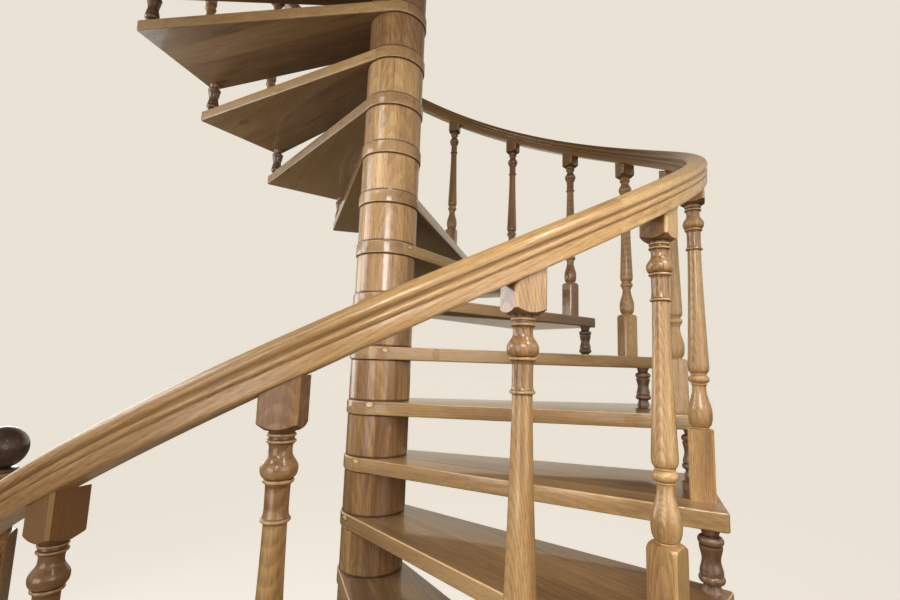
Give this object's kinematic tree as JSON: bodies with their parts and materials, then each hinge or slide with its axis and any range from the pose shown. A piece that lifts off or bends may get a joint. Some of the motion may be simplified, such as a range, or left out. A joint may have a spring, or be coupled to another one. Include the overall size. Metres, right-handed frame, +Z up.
{
  "type": "spiral staircase",
  "caption": "Oak spiral staircase with open risers: treads stacked between turned drums on a central column, turned balusters at their ends and a moulded helical handrail.",
  "frame": {"origin": "centre of the column's foot, on the floor", "axes": "+Z up the column; the stair climbs counter-clockwise seen from above; the tread halfway up points along +X, 14 degrees towards +Y"},
  "size_m": [2.2451, 2.2571, 4.6155],
  "materials": {
    "tread_oak": "gloss varnish",
    "column_oak": "gloss varnish",
    "baluster_oak": "satin varnish",
    "rail_oak": "gloss varnish",
    "turned_oak": "satin varnish"
  },
  "bodies": {
    "root": {"tread_01": "tread_oak", "tread_02": "tread_oak", "tread_03": "tread_oak", "tread_04": "tread_oak", "tread_05": "tread_oak", "tread_06": "tread_oak", "tread_07": "tread_oak", "tread_08": "tread_oak", "tread_09": "tread_oak", "tread_10": "tread_oak", "tread_11": "tread_oak", "tread_12": "tread_oak", "tread_13": "tread_oak", "tread_14": "tread_oak", "tread_15": "tread_oak", "tread_16": "tread_oak", "tread_17": "tread_oak", "column_drums": "column_oak", "column_cap": "column_oak", "column_ball": "turned_oak", "riser_spindles": "turned_oak", "baluster_02": "baluster_oak", "baluster_03": "baluster_oak", "baluster_04": "baluster_oak", "baluster_05": "baluster_oak", "baluster_06": "baluster_oak", "baluster_07": "baluster_oak", "baluster_08": "baluster_oak", "baluster_09": "baluster_oak", "baluster_10": "baluster_oak", "baluster_11": "baluster_oak", "baluster_12": "baluster_oak", "baluster_13": "baluster_oak", "baluster_14": "baluster_oak", "baluster_15": "baluster_oak", "baluster_16": "baluster_oak", "handrail_1": "rail_oak", "handrail_2": "rail_oak", "handrail_3": "rail_oak", "handrail_4": "rail_oak", "newel_start": "baluster_oak", "newel_start_ball": "turned_oak", "newel_top": "baluster_oak", "newel_top_ball": "turned_oak"}
  },
  "joints": []
}
